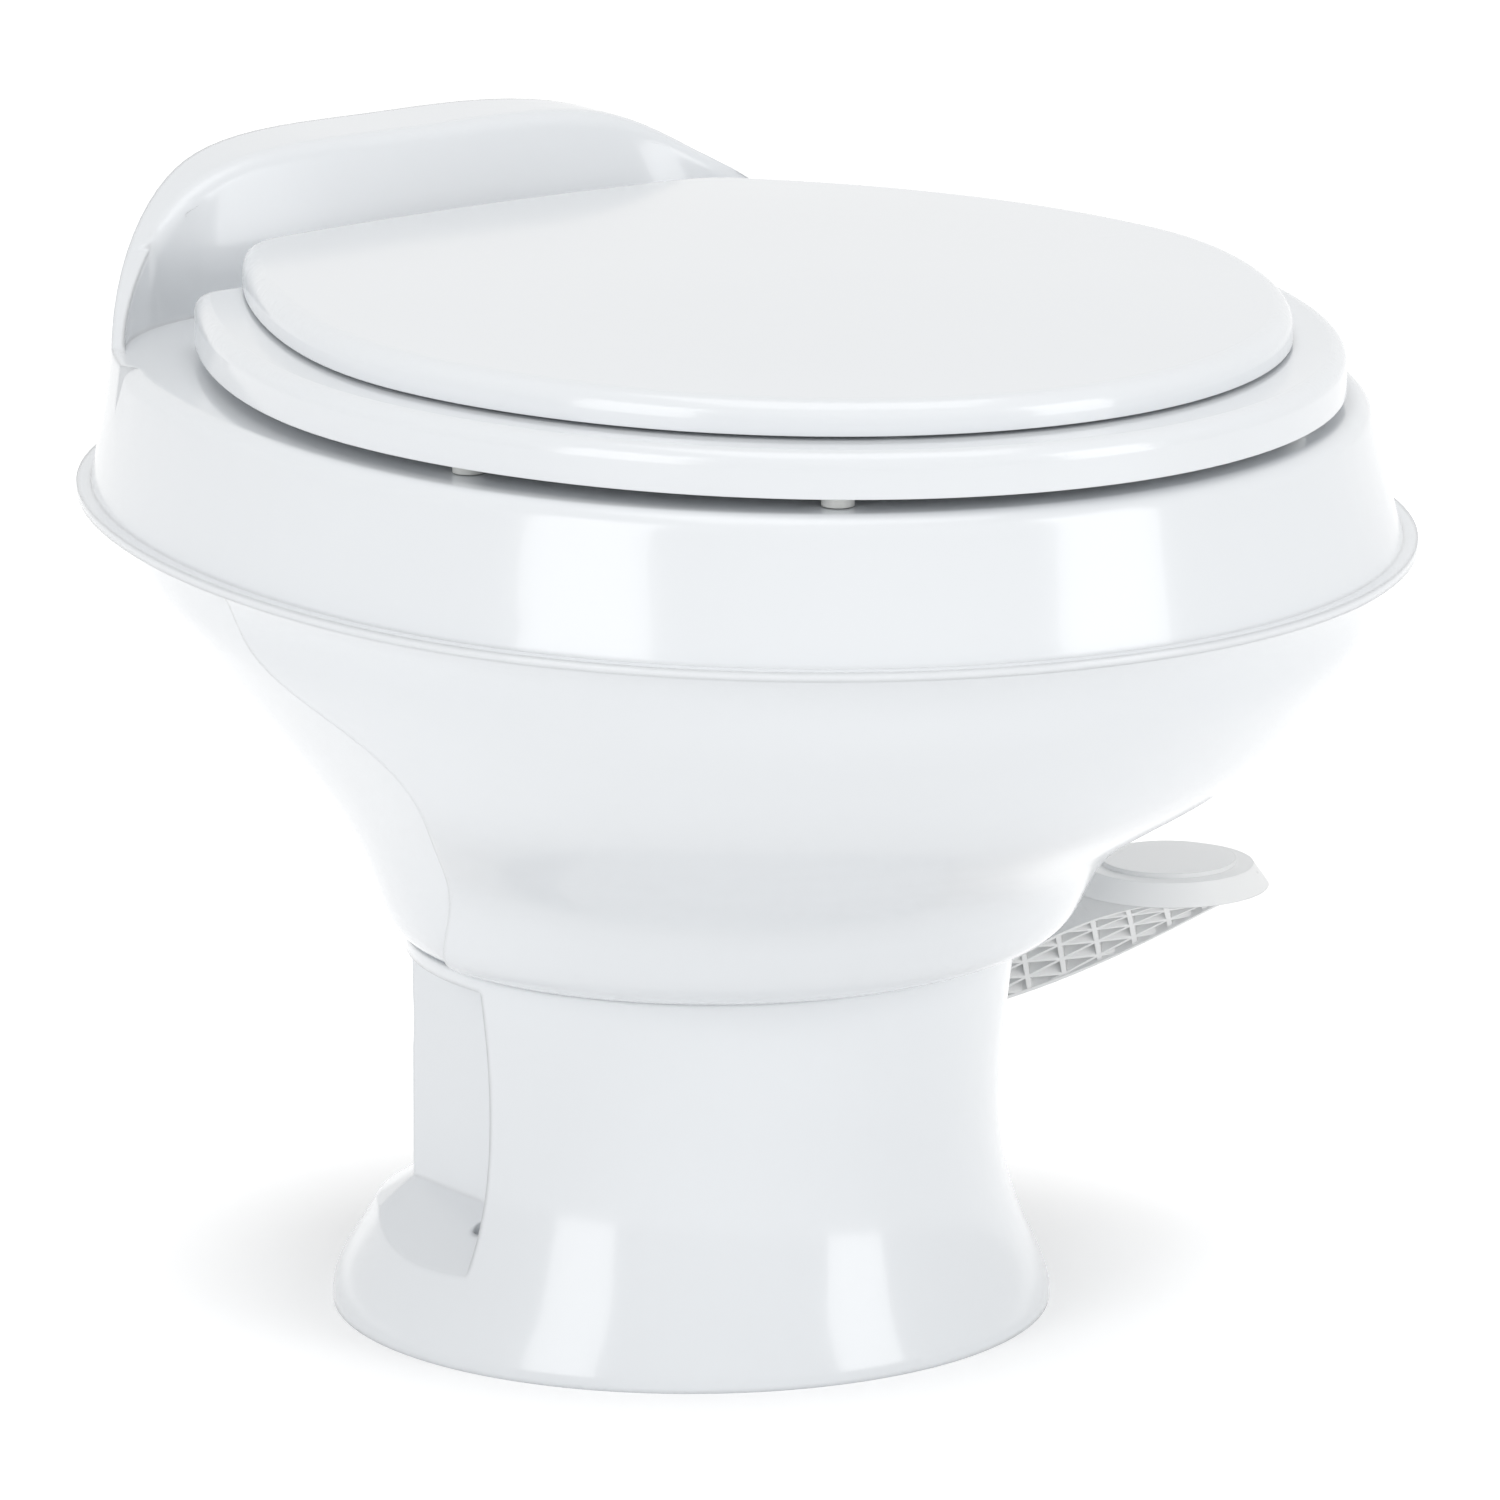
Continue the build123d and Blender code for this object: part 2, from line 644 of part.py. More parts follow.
with BuildPart() as sector_gear:
    teeth = gear_points(sector_teeth, sector_teeth_cut, mesh_turn, True)
    side_x, side_z = hub_radius * sin(mesh_turn), hub_radius * cos(mesh_turn)
    gear_plate(teeth + [(-side_x, side_z), (side_x, -side_z)], pedal_x, pedal_z)
    rod_y(pedal_x, pedal_z, hub_radius, gear_front, gear_front + gear_width)
    rod_y(pedal_x, pedal_z, shaft_radius + fit_gap, gear_front, gear_front + gear_width, Mode.SUBTRACT)
write(sector_gear, "sector_gear")

# Pivot pin, its clip and the return spring
with BuildPart() as pivot_pin:
    rod_y(pedal_x, pedal_z, shaft_radius, pin_front, pin_rear)
write(pivot_pin, "pivot_pin")

with BuildPart() as pivot_clip:
    rod_y(pedal_x, pedal_z, clip_radius, hub_rear + rest_gap, hub_rear + rest_gap + clip_thickness)
    rod_y(pedal_x, pedal_z, shaft_radius + fit_gap, hub_rear, hub_rear + 2 * clip_thickness, Mode.SUBTRACT)
write(pivot_clip, "pivot_clip")

with BuildPart() as return_spring:
    low = gear_front - spring_wire - running_gap - spring_pitch * spring_turns
    with BuildLine():
        Helix(
            spring_pitch,
            spring_pitch * spring_turns,
            bearing_radius + spring_wire + rest_gap,
            center=(pedal_x, low, pedal_z),
            direction=(0, 1, 0),
        )
    coil = return_spring.pending_edges[0]
    with BuildSketch(Plane(origin=coil @ 0, z_dir=coil % 0)):
        Rectangle(2 * spring_wire, 2 * spring_wire)
    sweep(path=coil)
write(return_spring, "return_spring")


# Pedal: an inverted tray from the hub round to the foot pad, ribbed in triangles below
def arm_loft(inset, lower, first, mode=Mode.ADD):
    """The arm's form: its side away from the toilet reaches lower, so that the ribs show."""
    faces = []
    for i in range(first, len(arm_route)):
        x, y = arm_route[i]
        before = arm_route[max(i - 1, 0)]
        after = arm_route[min(i + 1, len(arm_route) - 1)]
        along = Vector(after[0] - before[0], after[1] - before[1], 0).normalized()
        half = arm_widths[i] / 2 - inset
        plane = Plane(origin=(x, y, 0), x_dir=(-along.Y, along.X, 0), z_dir=(along.X, along.Y, 0))
        with BuildSketch(plane) as section:
            Polygon(
                (-half, arm_tops[i] - inset),
                (-half, arm_near_bottoms[i] - lower),
                (half, arm_far_bottoms[i] - lower),
                (half, arm_tops[i] - inset),
                align=None,
            )
        faces.append(section.sketch)
    loft(faces, mode=mode)


with BuildPart() as arm_ribs:
    with BuildSketch():
        for turn in rib_turns:
            for i in range(-rib_rows, rib_rows + 1):
                along = i * rib_pitch
                place = (rib_x + along * cos(radians(turn)), rib_y + along * sin(radians(turn)))
                with Locations(Location(place + (0,), turn)):
                    Rectangle(rib_wall, rib_length)
    extrude(amount=neck_height)
    arm_loft(arm_wall / 2, -rib_setback, 1, Mode.INTERSECT)


def pad_cone(radius, high, mode=Mode.ADD):
    """The foot pad's form: a disc with a skirt that slopes outwards."""
    with BuildSketch(Plane.XY.offset(pad_height - pad_skirt)) as foot:
        with Locations((pad_x, pad_y)):
            Circle(radius)
    extrude(foot.sketch, amount=high - pad_height + pad_skirt, taper=pad_taper, mode=mode)


with BuildPart() as pedal:
    pad_cone(pad_foot_radius, pad_height)
    pad_cone(pad_foot_radius - arm_wall, pad_height - pad_plate, Mode.SUBTRACT)
    arm_loft(0, 0, 0)
    arm_loft(arm_wall, arm_wall, 1, Mode.SUBTRACT)
    add(arm_ribs.part)
    rod_z(pad_x, pad_y, pad_rise_radius, pad_height, pad_height + pad_rise)
    rod_y(pedal_x, pedal_z, hub_radius, gear_front + gear_width, hub_rear)
    block(
        (pedal_x - tappet_reach, pedal_x),
        (tappet_front, tappet_front + tappet_width),
        (pedal_z - tappet_height / 2, pedal_z + tappet_height / 2),
    )
    rod_y(pedal_x, pedal_z, shaft_radius + fit_gap, gear_front, hub_rear, Mode.SUBTRACT)
write(pedal, "pedal")

# Water valve over the tappet
plunger_bottom = pedal_z + tappet_height / 2 + rest_gap
with BuildPart() as water_valve:
    rod_z(valve_x, valve_y, valve_radius, valve_bottom, window_top)
    rod_y(valve_x, inlet_height, inlet_radius, valve_y, inlet_end)
    rod_y(valve_x, inlet_height, inlet_flange_radius, inlet_end - inlet_flange, inlet_end)
    with BuildSketch(Plane.YZ.offset(valve_x - valve_radius - barb_length)):
        with Locations((valve_y + outlet_shift, outlet_height)):
            Circle(barb_radius)
    extrude(amount=valve_radius + barb_length)
    rod_y(valve_x, inlet_height, inlet_bore, valve_y + valve_radius / 2, inlet_end, Mode.SUBTRACT)
    plunger_top = plunger_bottom + plunger_length + plunger_room
    rod_z(valve_x, valve_y, plunger_radius + fit_gap, valve_bottom, plunger_top, Mode.SUBTRACT)
write(water_valve, "water_valve")

with BuildPart() as valve_plunger:
    rod_z(valve_x, valve_y, plunger_radius, plunger_bottom, plunger_bottom + plunger_length)
write(valve_plunger, "valve_plunger")

with BuildPart() as inlet_nut:
    with BuildSketch(Plane.XZ.offset(-nut_front)):
        with Locations((valve_x, inlet_height)):
            RegularPolygon(nut_flats / 2, 6, major_radius=False)
    extrude(amount=nut_front - nut_rear)
    rod_y(valve_x, inlet_height, nut_bore, nut_front + nut_web, nut_rear, Mode.SUBTRACT)
    rod_y(valve_x, inlet_height, nut_relief, nut_front + nut_web, inlet_end + washer_thickness, Mode.SUBTRACT)
    rod_y(valve_x, inlet_height, inlet_radius + fit_gap, nut_front, nut_rear, Mode.SUBTRACT)
write(inlet_nut, "inlet_nut")

with BuildPart() as inlet_washer:
    rod_y(valve_x, inlet_height, inlet_flange_radius, inlet_end, inlet_end + washer_thickness)
    rod_y(valve_x, inlet_height, washer_inner, inlet_end, inlet_end + washer_thickness, Mode.SUBTRACT)
write(inlet_washer, "inlet_washer")


def hose(route, bends):
    """A tube of straight runs joined by arcs, open from end to end."""
    with BuildLine() as line:
        FilletPolyline(*route, radius=bends)
    wire = line.wires()[0]
    with BuildSketch(Plane(origin=wire @ 0, z_dir=wire % 0)) as ring:
        Circle(hose_radius)
        Circle(hose_bore, mode=Mode.SUBTRACT)
    sweep(ring.sketch, path=wire)


with BuildPart() as feed_hose:
    hose(feed_route, feed_bends)
write(feed_hose, "feed_hose")

# Vacuum breaker under the rear deck, its cap and its float
with BuildPart() as breaker_body:
    chamber = breaker_bottom + barb_length
    front = breaker_y - breaker_radius
    rod_z(breaker_x, breaker_y, breaker_radius, chamber, rim_top - breaker_cap_height)
    inside = breaker_radius - breaker_wall
    rod_z(breaker_x, breaker_y, inside, chamber + breaker_wall, rim_top, Mode.SUBTRACT)
    rod_z(breaker_x, breaker_y, barb_radius, breaker_bottom - barb_length / 2, chamber)
    rod_y(breaker_x, rinse_height, barb_radius, front - barb_length, front + breaker_wall)
write(breaker_body, "breaker_body")

with BuildPart() as breaker_cap:
    rod_z(breaker_x, breaker_y, breaker_cap_radius, rim_top - breaker_cap_height, rim_top)
write(breaker_cap, "breaker_cap")

with BuildPart() as breaker_float:
    low = breaker_bottom + barb_length + breaker_wall
    rod_z(breaker_x, breaker_y, float_radius, low, low + float_height)
write(breaker_float, "breaker_float")

rinse_route = [
    (breaker_x, breaker_y - breaker_radius, rinse_height),
    (breaker_x, breaker_y - breaker_radius - rinse_run, rinse_height),
    (rinse_x, rim_rear + rinse_lead, rinse_height),
    (rinse_x, rim_rear + nozzle_grip, rinse_height),
]
with BuildPart() as rinse_hose:
    hose(rinse_route, rinse_bends)
write(rinse_hose, "rinse_hose")

with BuildPart() as rinse_nozzle:
    front, rear = rim_rear - nozzle_front, rim_rear + nozzle_rear
    rod_y(rinse_x, rinse_height, barb_radius, front, rear)
    rod_y(rinse_x, rinse_height, barb_radius / 2, front, rear, Mode.SUBTRACT)
write(rinse_nozzle, "rinse_nozzle")

# Seat: a ring with a straight rear edge, round edges and two hinge knuckles
seat_top = seat_height + seat_thickness


def seat_face(half, front, mid, reach, power, rear, corner):
    with BuildSketch() as face:
        outline_face(half, front, reach, mid, power)
        with Locations((0, rear + reach)):
            Rectangle(4 * half, 2 * reach, mode=Mode.SUBTRACT)
        fillet(face.vertices().group_by(Axis.Y)[-1], corner)
    return face.sketch


with BuildPart() as seat:
    with BuildSketch(Plane.XY.offset(seat_height)):
        add(seat_face(seat_half, seat_front, seat_mid, seat_reach, seat_power, seat_rear, seat_corner))
    extrude(amount=seat_thickness)
    fillet(seat.faces().sort_by(Axis.Z)[-1].edges(), seat_edge)
    with BuildSketch(Plane.XY.offset(seat_height)):
        outline_face(seat_hole_half, seat_hole_front, seat_hole_rear, seat_hole_mid)
    extrude(amount=seat_thickness, mode=Mode.SUBTRACT)
    for side in (1, -1):
        inner = side * (post_x + post_width / 2 + running_gap)
        outer = inner + side * knuckle_width
        left, right = sorted((inner, outer))
        rod_x(hinge_y, hinge_height, knuckle_radius, left, right)
        web = (seat_height + running_gap, hinge_height + knuckle_radius)
        block((left, right), (seat_rear - web_front, hinge_y), web)
        rod_x(hinge_y, hinge_height, pin_radius + fit_gap, left, right, Mode.SUBTRACT)
write(seat, "seat")

# Lid
lid_bottom = seat_top + lid_gap
with BuildPart() as lid:
    with BuildSketch(Plane.XY.offset(lid_bottom)):
        add(seat_face(lid_half, lid_front, lid_mid, lid_reach, lid_power, lid_rear, lid_corner))
    extrude(amount=lid_thickness)
    with Locations((0, (lid_front + lid_rear) / 2, lid_bottom + lid_thickness - crown_radius)):
        Sphere(crown_radius, mode=Mode.INTERSECT)
    fillet(lid.faces().sort_by(Axis.Z)[-1].edges(), lid_edge)
    for side in (1, -1):
        outer = side * (post_x - post_width / 2 - running_gap)
        inner = outer - side * knuckle_width
        left, right = sorted((inner, outer))
        rod_x(hinge_y, hinge_height, knuckle_radius, left, right)
        web = (hinge_y - knuckle_radius, hinge_y + knuckle_radius)
        block((left, right), web, (hinge_height, lid_bottom))
        rod_x(hinge_y, hinge_height, pin_radius + fit_gap, left, right, Mode.SUBTRACT)
write(lid, "lid")

# Hinge posts on the deck, their pins, bolts, washers and wing nuts
with BuildPart() as hinge_posts:
    for side in (1, -1):
        left, right = side * post_x - post_width / 2, side * post_x + post_width / 2
        depth = (hinge_y - post_depth / 2, hinge_y + post_depth / 2)
        block((left, right), depth, (deck_height, hinge_height))
        rod_x(hinge_y, hinge_height, post_radius, left, right)
        rod_x(hinge_y, hinge_height, pin_radius + fit_gap, left, right, Mode.SUBTRACT)
        hole = bolt_radius + fit_gap
        rod_z(side * post_x, hinge_y, hole, deck_height, deck_height + bolt_top, Mode.SUBTRACT)
write(hinge_posts, "hinge_posts")

with BuildPart() as hinge_pins:
    for side in (1, -1):
        reach = post_width / 2 + running_gap + knuckle_width
        rod_x(hinge_y, hinge_height, pin_radius, side * post_x - reach, side * post_x + reach)
write(hinge_pins, "hinge_pins")

with BuildPart() as hinge_bolts:
    for side in (1, -1):
        top = deck_height + bolt_top
        rod_z(side * post_x, hinge_y, bolt_radius, top - bolt_length, top)
write(hinge_bolts, "hinge_bolts")

with BuildPart() as hinge_washers:
    for side in (1, -1):
        rod_z(side * post_x, hinge_y, bolt_washer_radius, rim_top - bolt_washer, rim_top)
        rod_z(side * post_x, hinge_y, bolt_radius + fit_gap, rim_top - bolt_washer, rim_top, Mode.SUBTRACT)
write(hinge_washers, "hinge_washers")

with BuildPart() as wing_nuts:
    for side in (1, -1):
        top = rim_top - bolt_washer
        rod_z(side * post_x, hinge_y, wing_nut_radius, top - wing_nut_height, top)
        block(
            (side * post_x - wing_span / 2, side * post_x + wing_span / 2),
            (hinge_y - wing_thickness / 2, hinge_y + wing_thickness / 2),
            (top - wing_nut_height, top),
        )
        rod_z(side * post_x, hinge_y, bolt_radius + fit_gap, top - wing_nut_height, top, Mode.SUBTRACT)
write(wing_nuts, "wing_nuts")

# Bumpers under the seat and under the lid
with BuildPart() as seat_bumpers:
    for x, y in bumper_places:
        for side in (1, -1):
            rod_z(side * x, y, bumper_radius, deck_height + rest_gap, seat_height)
write(seat_bumpers, "seat_bumpers")

with BuildPart() as lid_bumpers:
    for x, y in lid_bumper_places:
        for side in (1, -1):
            rod_z(side * x, y, bumper_radius, seat_top + rest_gap, lid_bottom)
write(lid_bumpers, "lid_bumpers")
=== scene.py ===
"""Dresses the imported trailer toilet: moulded plastics, rounded edges, studio floor, lights and camera."""
import math

import bmesh
import bpy
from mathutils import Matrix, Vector


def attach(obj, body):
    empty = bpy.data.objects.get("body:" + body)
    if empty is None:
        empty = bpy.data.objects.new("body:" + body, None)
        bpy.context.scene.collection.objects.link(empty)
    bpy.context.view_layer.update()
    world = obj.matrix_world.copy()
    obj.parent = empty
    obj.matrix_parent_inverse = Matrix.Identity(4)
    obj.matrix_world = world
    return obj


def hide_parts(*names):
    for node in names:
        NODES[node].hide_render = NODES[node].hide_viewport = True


bl_info = {
    "name": "Trailer toilet",
    "version": (1, 0, 0),
    "blender": (4, 5, 0),
    "location": "View3D > Sidebar > Toilet",
    "description": "Plastics, rounded edges and studio for a pedal-flush trailer toilet",
    "category": "Object",
}

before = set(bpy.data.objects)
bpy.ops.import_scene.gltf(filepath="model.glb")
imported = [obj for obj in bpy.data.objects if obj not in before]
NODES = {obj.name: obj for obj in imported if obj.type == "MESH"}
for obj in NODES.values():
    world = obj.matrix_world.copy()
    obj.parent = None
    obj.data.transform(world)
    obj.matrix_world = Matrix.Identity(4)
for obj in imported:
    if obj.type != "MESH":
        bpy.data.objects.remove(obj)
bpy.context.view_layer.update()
MM = 0.001
SHARP_ANGLE = math.radians(25)
# where the camera stands in plan, in degrees: 0 is straight in front, and negative is towards -X
CAMERA_TURN = -35.0


def linear(code):
    """An sRGB hex colour as linear RGBA."""
    channels = [int(code[i:i + 2], 16) / 255 for i in (1, 3, 5)]
    return tuple(c / 12.92 if c <= 0.04045 else ((c + 0.055) / 1.055) ** 2.4 for c in channels) + (1.0,)


def add_node(tree, kind, inputs=None, links=None, **settings):
    """Adds one node with its settings, its socket values and what feeds its sockets."""
    node = tree.nodes.new(kind)
    for key, value in settings.items():
        setattr(node, key, value)
    for key, value in (inputs or {}).items():
        node.inputs[key].default_value = value
    for key, source in (links or {}).items():
        tree.links.new(source, node.inputs[key])
    return node


def blank_material(name):
    """A new material whose node tree is empty."""
    material = bpy.data.materials.new(name)
    material.use_nodes = True
    material.node_tree.nodes.clear()
    return material


def new_object(name, data):
    """A new object in the scene that shows this data."""
    item = bpy.data.objects.new(name, data)
    bpy.context.scene.collection.objects.link(item)
    return item


def plastic(name, colour, rough, grain_mm, bump_mm, ior=1.5, shade=0.02, coat=0.0, soft_mm=0.5):
    """A moulded plastic: an even colour with a faint cloud in it and a fine surface waviness."""
    material = blank_material(name)
    tree = material.node_tree
    place = add_node(tree, "ShaderNodeTexCoord").outputs["Object"]
    # the melt cools unevenly, so the colour drifts a little over a hand's width
    cloud_mm = 111.1
    cloud = add_node(
        tree, "ShaderNodeTexNoise", {"Scale": 1 / (cloud_mm * MM), "Detail": 2.0}, {"Vector": place}
    )
    ramp = add_node(tree, "ShaderNodeValToRGB", links={"Fac": cloud.outputs["Fac"]})
    base = linear(colour)
    ramp.color_ramp.elements[0].color = tuple(c * (1 - shade) for c in base[:3]) + (1.0,)
    ramp.color_ramp.elements[1].color = base
    grain = add_node(
        tree, "ShaderNodeTexNoise", {"Scale": 1 / (grain_mm * MM), "Detail": 1.0}, {"Vector": place}
    )
    # a mould leaves no edge quite sharp
    soft = add_node(tree, "ShaderNodeBevel", {"Radius": soft_mm * MM}, samples=6)
    bump = add_node(
        tree,
        "ShaderNodeBump",
        {"Strength": 0.25, "Distance": bump_mm * MM},
        {"Height": grain.outputs["Fac"], "Normal": soft.outputs["Normal"]},
    )
    shader = add_node(
        tree,
        "ShaderNodeBsdfPrincipled",
        {"Roughness": rough, "IOR": ior, "Coat Weight": coat, "Coat Roughness": 0.05},
        {"Base Color": ramp.outputs["Color"], "Normal": bump.outputs["Normal"]},
    )
    add_node(tree, "ShaderNodeOutputMaterial", links={"Surface": shader.outputs["BSDF"]})
    return material


def steel(name, colour, rough):
    """Bright drawn stainless steel; its waviness is coarser than the real one, so that it shows."""
    material = blank_material(name)
    tree = material.node_tree
    wave_mm, depth_mm = 1.11, 0.02
    place = add_node(tree, "ShaderNodeTexCoord").outputs["Object"]
    wave = add_node(
        tree, "ShaderNodeTexNoise", {"Scale": 1 / (wave_mm * MM), "Detail": 2.0}, {"Vector": place}
    )
    bump = add_node(
        tree,
        "ShaderNodeBump",
        {"Strength": 0.15, "Distance": depth_mm * MM},
        {"Height": wave.outputs["Fac"]},
    )
    shader = add_node(
        tree,
        "ShaderNodeBsdfPrincipled",
        {"Base Color": linear(colour), "Metallic": 1.0, "Roughness": rough},
        {"Normal": bump.outputs["Normal"]},
    )
    add_node(tree, "ShaderNodeOutputMaterial", links={"Surface": shader.outputs["BSDF"]})
    return material


def dress(material, *nodes):
    """Gives CAD nodes a material."""
    for name in nodes:
        mesh = NODES[name].data
        mesh.materials.clear()
        mesh.materials.append(material)


def rounded_copy(node, body, material, radius, picked):
    """A copy of a CAD node with its picked edges rounded over; it stands in for the node."""
    mesh = NODES[node].data.copy()
    piece = new_object(f"{node}_rounded", mesh)
    bm = bmesh.new()
    bm.from_mesh(mesh)
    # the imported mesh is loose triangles: they are welded, and flat ones become one face
    weld = 0.002 * MM
    flat_angle = math.radians(0.5)
    bmesh.ops.remove_doubles(bm, verts=bm.verts, dist=weld)
    bmesh.ops.dissolve_degenerate(bm, dist=weld, edges=bm.edges)
    bmesh.ops.dissolve_limit(bm, angle_limit=flat_angle, verts=bm.verts, edges=bm.edges)
    sharp = [e for e in bm.edges if e.calc_face_angle(0) > SHARP_ANGLE]
    chosen = [e for e in sharp if e.is_convex and picked(*e.verts)]
    for edge in set(sharp) - set(chosen):
        edge.smooth = False
    bmesh.ops.bevel(
        bm,
        geom=chosen,
        offset=radius,
        offset_type="OFFSET",
        affect="EDGES",
        segments=5,
        profile=0.5,
        material=-1,
        clamp_overlap=False,
    )
    for face in bm.faces:
        face.smooth = True
    bm.to_mesh(mesh)
    bm.free()
    mesh.materials.clear()
    mesh.materials.append(material)
    even = piece.modifiers.new("even_shading", "WEIGHTED_NORMAL")
    even.keep_sharp = True
    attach(piece, body)
    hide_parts(node)


class ToiletSettings(bpy.types.PropertyGroup):
    shell_colour: bpy.props.StringProperty(
        name="Shell colour", description="sRGB hex colour of the moulded shells", default="#E9ECEF"
    )
    pedal_colour: bpy.props.StringProperty(
        name="Pedal colour", description="sRGB hex colour of the foot pedal", default="#F4F5F5"
    )
    shell_roughness: bpy.props.FloatProperty(
        name="Shell roughness",
        description="Roughness of the polished shells",
        default=0.16,
        min=0,
        max=1,
        subtype="FACTOR",
    )
    edge_round: bpy.props.FloatProperty(
        name="Edge rounding",
        description="Radius of the large moulded edges",
        default=5.0 * MM,
        min=0.1 * MM,
        subtype="DISTANCE",
    )
    lamp_level: bpy.props.FloatProperty(
        name="Lamp level", description="Radiance of the softboxes", default=2.45, min=0
    )
    sky_level: bpy.props.FloatProperty(
        name="Sky level", description="Strength of the even white surround", default=0.6, min=0
    )


class TOILET_OT_shells(bpy.types.Operator):
    """The upper and lower shells, the base pedestal and the bowl in glossy white plastic"""

    bl_idname = "toilet.shells"
    bl_label = "Shells"

    def execute(self, context):
        sizes = context.scene.toilet_settings
        # ABS from a polished mould: hard white with a sharp gloss, and a very faint orange peel
        abs_white = plastic(
            "moulded_abs_gloss",
            sizes.shell_colour,
            sizes.shell_roughness,
            grain_mm=6.0,
            bump_mm=0.02,
            coat=0.3,
            soft_mm=3,
        )
        dress(abs_white, "upper_shell", "lower_shell", "base_pedestal")
        radius = sizes.edge_round
        rounded_copy("upper_shell", "toilet", abs_white, radius, self.deck_and_crest)
        # polypropylene bowl liner: a touch softer in its gloss
        liner = plastic("moulded_polypropylene", "#EDEFF0", 0.22, grain_mm=4.0, bump_mm=0.02)
        dress(liner, "bowl")
        return {"FINISHED"}

    def deck_and_crest(self, start, end):
        """The outer edge of the deck in front of the back wall, and the inner edge of the wall's crest."""
        middle = (start.co + end.co) / 2
        deck_low, deck_high, wall_start = 0.3015, 0.3025, 0.088
        opening_reach, opening_y = 0.132, -0.07
        crest_low, crest_half, crest_rear = 0.325, 0.105, 0.152
        outside = math.hypot(middle.x, middle.y - opening_y) > opening_reach
        on_rim = deck_low < middle.z < deck_high and middle.y < wall_start and outside
        on_crest = middle.z > crest_low and abs(middle.x) < crest_half and middle.y < crest_rear
        return on_rim or on_crest


class TOILET_OT_seat_and_lid(bpy.types.Operator):
    """The seat, lid, hinge posts and bumpers"""

    bl_idname = "toilet.seat_and_lid"
    bl_label = "Seat and lid"

    def execute(self, context):
        sizes = context.scene.toilet_settings
        # the same hard glossy plastic as the shells, from a thicker moulding with a wider waviness
        seat_white = plastic(
            "moulded_seat_gloss",
            sizes.shell_colour,
            sizes.shell_roughness,
            grain_mm=7.0,
            bump_mm=0.02,
            coat=0.3,
        )
        dress(seat_white, "seat", "lid", "hinge_posts")
        # thermoplastic rubber feet: milky and dull
        feet = plastic("soft_bumper_rubber", "#E6E7E4", 0.5, grain_mm=1.2, bump_mm=0.03, ior=1.47)
        dress(feet, "seat_bumpers", "lid_bumpers")
        return {"FINISHED"}


class TOILET_OT_pedal(bpy.types.Operator):
    """The foot pedal with its ribbed underside"""

    bl_idname = "toilet.pedal"
    bl_label = "Pedal"

    def execute(self, context):
        sizes = context.scene.toilet_settings
        # glass-filled nylon straight from the mould: white, but duller than the shells
        nylon = plastic(
            "moulded_nylon_satin", sizes.pedal_colour, 0.36, grain_mm=1.5, bump_mm=0.03, ior=1.53
        )
        dress(nylon, "pedal")
        return {"FINISHED"}


class TOILET_OT_flush_works(bpy.types.Operator):
    """The ball valve, its housing, gears, shafts, spring, fasteners and seals"""

    bl_idname = "toilet.flush_works"
    bl_label = "Flush works"

    def execute(self, context):
        # acetal gears and housing: black, waxy, low gloss
        acetal = plastic(
            "moulded_acetal_black", "#2B2C2E", 0.42, grain_mm=1.0, bump_mm=0.03, ior=1.48, shade=0.15
        )
        dress(acetal, "valve_housing", "pinion", "sector_gear", "flush_ball")
        # stainless wire and rod: bright, a little satin
        bright = steel("drawn_stainless_steel", "#C9C8C4", 0.28)
        dress(bright, "drive_shaft", "idler_shaft", "pivot_pin", "pivot_clip", "return_spring")
        dress(bright, "collar_screws", "hinge_pins", "hinge_bolts")
        # moulded rubber seals: black, dry and matt
        rubber = plastic(
            "moulded_seal_rubber", "#1F1F20", 0.75, grain_mm=0.8, bump_mm=0.05, ior=1.52, shade=0.2
        )
        dress(rubber, "bowl_seal", "floor_seal", "hinge_washers", "inlet_washer")
        return {"FINISHED"}


class TOILET_OT_water_works(bpy.types.Operator):
    """The water valve, inlet nut, hoses, vacuum breaker and wing nuts"""

    bl_idname = "toilet.water_works"
    bl_label = "Water works"

    def execute(self, context):
        # polyester valve bodies: mid grey with a dull gloss
        grey = plastic(
            "moulded_polyester_grey", "#54575A", 0.4, grain_mm=1.2, bump_mm=0.03, ior=1.55, shade=0.1
        )
        dress(grey, "water_valve", "valve_plunger", "inlet_nut", "rinse_nozzle", "wing_nuts")
        dress(grey, "breaker_body", "breaker_cap", "breaker_float")
        # soft vinyl hose: milky, a little waxy
        vinyl = plastic(
            "extruded_vinyl_hose", "#D9DCD8", 0.32, grain_mm=2.0, bump_mm=0.02, ior=1.53, shade=0.06
        )
        dress(vinyl, "feed_hose", "rinse_hose")
        return {"FINISHED"}


